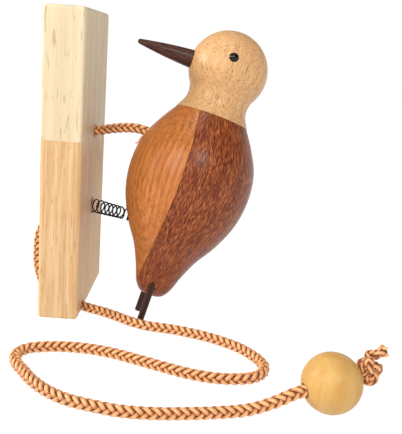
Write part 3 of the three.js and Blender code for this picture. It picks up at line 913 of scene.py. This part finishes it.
def plait(name, line, sides_on, along, run, turn, finish, scale=1, frayed=0):
    """Eight strands plaited about a line, as one mesh. Each strand's UV runs along it and round it, and
    the attribute "crevice" says how deep in the plait the surface lies; the cord's finish paints shade
    by it. frayed is how much of the end has come loose, in millimetres."""
    scale = np.full(len(line), scale)
    loose = np.clip(1 - (run[-1] - run) / frayed, 0, 1) if frayed else np.zeros(len(line))
    up = np.cross(along, sides_on)
    bm = bmesh.new()
    uv = bm.loops.layers.uv.new("strand")
    deep = bm.verts.layers.float.new("crevice")
    spread = np.linspace(0, 2 * math.pi, 9)[:-1] + math.pi / 2
    for hand in (1, -1):
        for k in range(4):
            angle = hand * 2 * math.pi * run / LEAD + k * math.pi / 2 + turn
            # A strand of one hand rides over two of the other, and then dives under two.
            swing = 4 * math.pi * run / LEAD + math.pi * k - math.pi / 4
            swing = swing if hand > 0 else swing + 1.5 * math.pi
            lift = np.tanh(1.7 * np.cos(swing))
            splay = 1 + loose * (0.3 + 0.25 * math.sin(3 * k + hand))
            radius = scale * splay * (STRAND_MID + STRAND_LIFT * lift)
            out = np.cos(angle)[:, None] * sides_on + np.sin(angle)[:, None] * up
            centre = line + out * radius[:, None]
            heading = np.gradient(centre, axis=0)
            heading /= np.linalg.norm(heading, axis=1)[:, None]
            flat = np.cross(heading, out)
            flat /= np.linalg.norm(flat, axis=1)[:, None]
            proud = np.cross(flat, heading)
            rings = []
            for i in range(len(line)):
                ring = []
                for a in spread:
                    off = flat[i] * STRAND_WIDE * math.cos(a) + proud[i] * STRAND_THICK * math.sin(a)
                    spot = centre[i] + off * scale[i]
                    vert = bm.verts.new(spot)
                    vert[deep] = 1 - (np.linalg.norm(spot - line[i]) / scale[i] - 1.43) / 1.32
                    ring.append(vert)
                rings.append(ring)
            for i, (ring, after) in enumerate(zip(rings, rings[1:])):
                for j in range(8):
                    face = bm.faces.new((ring[j], ring[(j + 1) % 8], after[(j + 1) % 8], after[j]))
                    corners = ((i, j), (i, j + 1), (i + 1, j + 1), (i + 1, j))
                    for loop, (u, v) in zip(face.loops, corners):
                        loop[uv].uv = (run[u] * 0.1 + 3.7 * k + 1.9 * hand, v / 8)
            bm.faces.new(rings[0])
            bm.faces.new(rings[-1])
    bmesh.ops.recalc_face_normals(bm, faces=bm.faces)
    return piece(name, bm, BOARD_PLACE, finish, crisp=60)


fibre, tree, shader = new_finish("plaited_cord")
strand = node(tree, "UVMap", uv_map="strand").outputs[0]
drawn = node(
    tree, "Mapping", [("Vector", strand), ("Rotation", (0, 0, 0.16)), ("Scale", (2.2, 9, 1))]
).outputs[0]
hairs = node(
    tree, "TexNoise", [("Vector", drawn), ("Scale", 2.4), ("Detail", 3), ("Roughness", 0.6)]
).outputs["Fac"]
crevice = node(tree, "Attribute", attribute_name="crevice").outputs["Fac"]
worn = node(
    tree,
    "MapRange",
    [("Value", hairs), ("From Min", 0.3), ("From Max", 0.7), ("To Min", -0.12), ("To Max", 0.12)],
)
# Painted light: the lighter strand crowns are a painted highlight, the darker crevices painted shade.
depth = node(tree, "Math", [(0, crevice), (1, worn.outputs[0])], operation="ADD").outputs[0]
crevice_light_and_shade = node(tree, "ValToRGB", [("Fac", depth)])
crevice_light_and_shade.color_ramp.elements[0].position = 0.04
crevice_light_and_shade.color_ramp.elements[0].color = tint(232, 172, 116)
crevice_light_and_shade.color_ramp.elements[1].position = 0.8
crevice_light_and_shade.color_ramp.elements[1].color = tint(116, 58, 24)
for stop, colour in ((0.18, tint(206, 138, 82)), (0.4, tint(158, 90, 44))):
    crevice_light_and_shade.color_ramp.elements.new(stop).color = colour
tree.links.new(crevice_light_and_shade.outputs[0], shader.inputs["Base Color"])
shader.inputs["Roughness"].default_value = 0.42
shader.inputs["Sheen Weight"].default_value = 0.15
shader.inputs["Sheen Roughness"].default_value = 0.4
relief = node(tree, "Bump", [("Strength", 0.5), ("Distance", 0.0002), ("Height", hairs)])
tree.links.new(relief.outputs[0], shader.inputs["Normal"])

whole = flowing(CHEST_WAY + BACK_WAY + TABLE_WAY, 0.55)
run = np.concatenate([[0], np.cumsum(np.linalg.norm(np.diff(whole, axis=0), axis=1))])
along, sides_on = carried(whole, (0, 1, 0))
at_board = int(np.argmin(np.linalg.norm(whole - np.array((-4.8, 0, 96.4)), axis=1)))
at_foot = int(np.argmin(np.linalg.norm(whole - np.array((0.65, -23.35, 2.6)), axis=1)))


def facing(at, share):
    """The turn, in degrees, that brings a row of the plait's Vs to the front at a place on the line."""
    up_there = np.cross(along[at], sides_on[at])
    return math.degrees(math.atan2(up_there[2], sides_on[at][2])) + share


# The cord has a slight twist, so that a row of its Vs faces the front on each stretch.
at_chest = 8
turn_chest, turn_foot = facing(at_chest, 36.5), facing(at_foot, 8.5)
turn_foot += 180 * round((turn_chest - turn_foot) / 180)
turn = np.radians(
    np.interp(
        np.arange(len(whole)),
        [at_chest, at_board, at_foot, at_foot + 190, at_foot + 270, at_foot + 455, at_foot + 500],
        [turn_chest, turn_chest, turn_foot, turn_foot, turn_foot + 28, turn_foot + 28, turn_foot],
    )
)
stretches = {
    "cord_chest": (0, at_board + 1),
    "cord_back": (at_board, at_foot + 1),
    "pull_cord": (at_foot, len(whole)),
}
cords = {}
for name, (first, last) in stretches.items():
    part = slice(first, last)
    cords[name] = plait(
        name + "_plait", whole[part], sides_on[part], along[part], run[part], turn[part], fibre
    )
    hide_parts(name)
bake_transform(cords["cord_chest"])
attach(cords["cord_back"], "board")
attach(cords["pull_cord"], "board")

# ---- The loose thread
# Two plies of the cord's yarn have pulled out where it enters the chest. They hang against the belly.
def on_chest(proud, y, z):
    """A place above the chest's surface, in millimetres in the bird's own directions."""
    return (-flank_radius(z) - proud, y, z)


hang = flowing(
    [
        on_chest(-2.4, -1.6, -47.2),
        on_chest(0.3, -2.2, -48.9),
        on_chest(0.5, -3, -50.8),
        on_chest(0.6, -3.1, -52.6),
        on_chest(1.6, -3.3, -53.6),
    ],
    0.12,
)
hang_along, hang_sides = carried(hang, (0, 1, 0))
for ply in (0, 1):
    wound = (np.arange(len(hang)) * 0.5 + ply * math.pi)[:, None]
    off = np.cos(wound) * hang_sides + np.sin(wound) * np.cross(hang_along, hang_sides)
    thread = wire("chest_thread_%d" % (ply + 1), hang + off * 0.24, 0.25, BIRD_PLACE, fibre, sides=1)
    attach(thread, "bird")

# ---- The bead
# A turned wooden bead, bored through and lacquered, which is the pull. It can turn on the cord.
honey = timber(
    "bead_maple",
    Matrix.Translation(on_board(*BEAD_AT)) @ Matrix.Rotation(0.12, 4, "Y") @ Matrix.Scale(0.001, 4),
    tint(208, 168, 102),
    tint(192, 142, 74),
    tint(170, 116, 56),
    rings=(9, 0.35),
    streak=(0.35, 0.6),
    pores=(1.2, 0.68, 0.25, 0.17),
    gloss=0.42,
)
BEAD_HOLE = 2.9
lip = math.asin((BEAD_HOLE + 0.5) / BEAD_R)
ball = []
for k in range(49):
    a = lip + (math.pi - 2 * lip) * k / 48
    ball.append((BEAD_R * math.sin(a), -BEAD_R * math.cos(a)))
top = ball[-1][1]
ball += [(BEAD_HOLE + 0.2, top - 0.05), (BEAD_HOLE, top - 0.45)]
ball += [(BEAD_HOLE, -top + 0.45), (BEAD_HOLE + 0.2, -top + 0.05)]
bead_place = BOARD_PLACE @ Matrix.Translation(BEAD_AT) @ hole.to_track_quat("Z", "Y").to_matrix().to_4x4()
bead = piece("pull_bead_turned", turned(ball, 96, closed=True), bead_place, honey)
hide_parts("pull_bead")
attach(bead, "bead")

# ---- The end knot
# The cord ends in an overhand knot, drawn up against the bead, and a short tail whose strands have
# frayed apart.
KNOT_R, KNOT_LOOP, KNOT_DEEP, KNOT_SCALE = 3.3, 2.0, 2.9, 0.78
near = Vector((math.sin(math.radians(BEAD_TURN)), -math.cos(math.radians(BEAD_TURN)), 0))
above = near.cross(hole)


def at_knot(out, nearer, higher):
    return on_hole(BEAD_R + out) + near * nearer + above * higher


tied = [at_knot(-2, 0, 0), at_knot(0.8, 0, 0.4)]
for k in range(19):
    t = math.radians(16 + (360 - 32) * k / 18)
    r = KNOT_R + KNOT_LOOP * math.cos(3 * t)
    tied.append(
        at_knot(
            5.2 - r * math.sin(2 * t) * 0.62,
            KNOT_DEEP * math.sin(3 * t),
            2 + r * math.cos(2 * t) * 1.25,
        )
    )
tied += [at_knot(7.4, 1.2, 8.2), at_knot(9.6, 1.5, 9.2), at_knot(12.2, 1.6, 9.4)]
knot_line = flowing(tied, 0.5)
knot_along, knot_sides = carried(knot_line, near)
knot_run = np.arange(len(knot_line)) * 0.5
knot = plait("end_knot_tied", knot_line, knot_sides, knot_along, knot_run, 0, fibre, KNOT_SCALE, frayed=4)
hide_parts("end_knot")
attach(knot, "board")
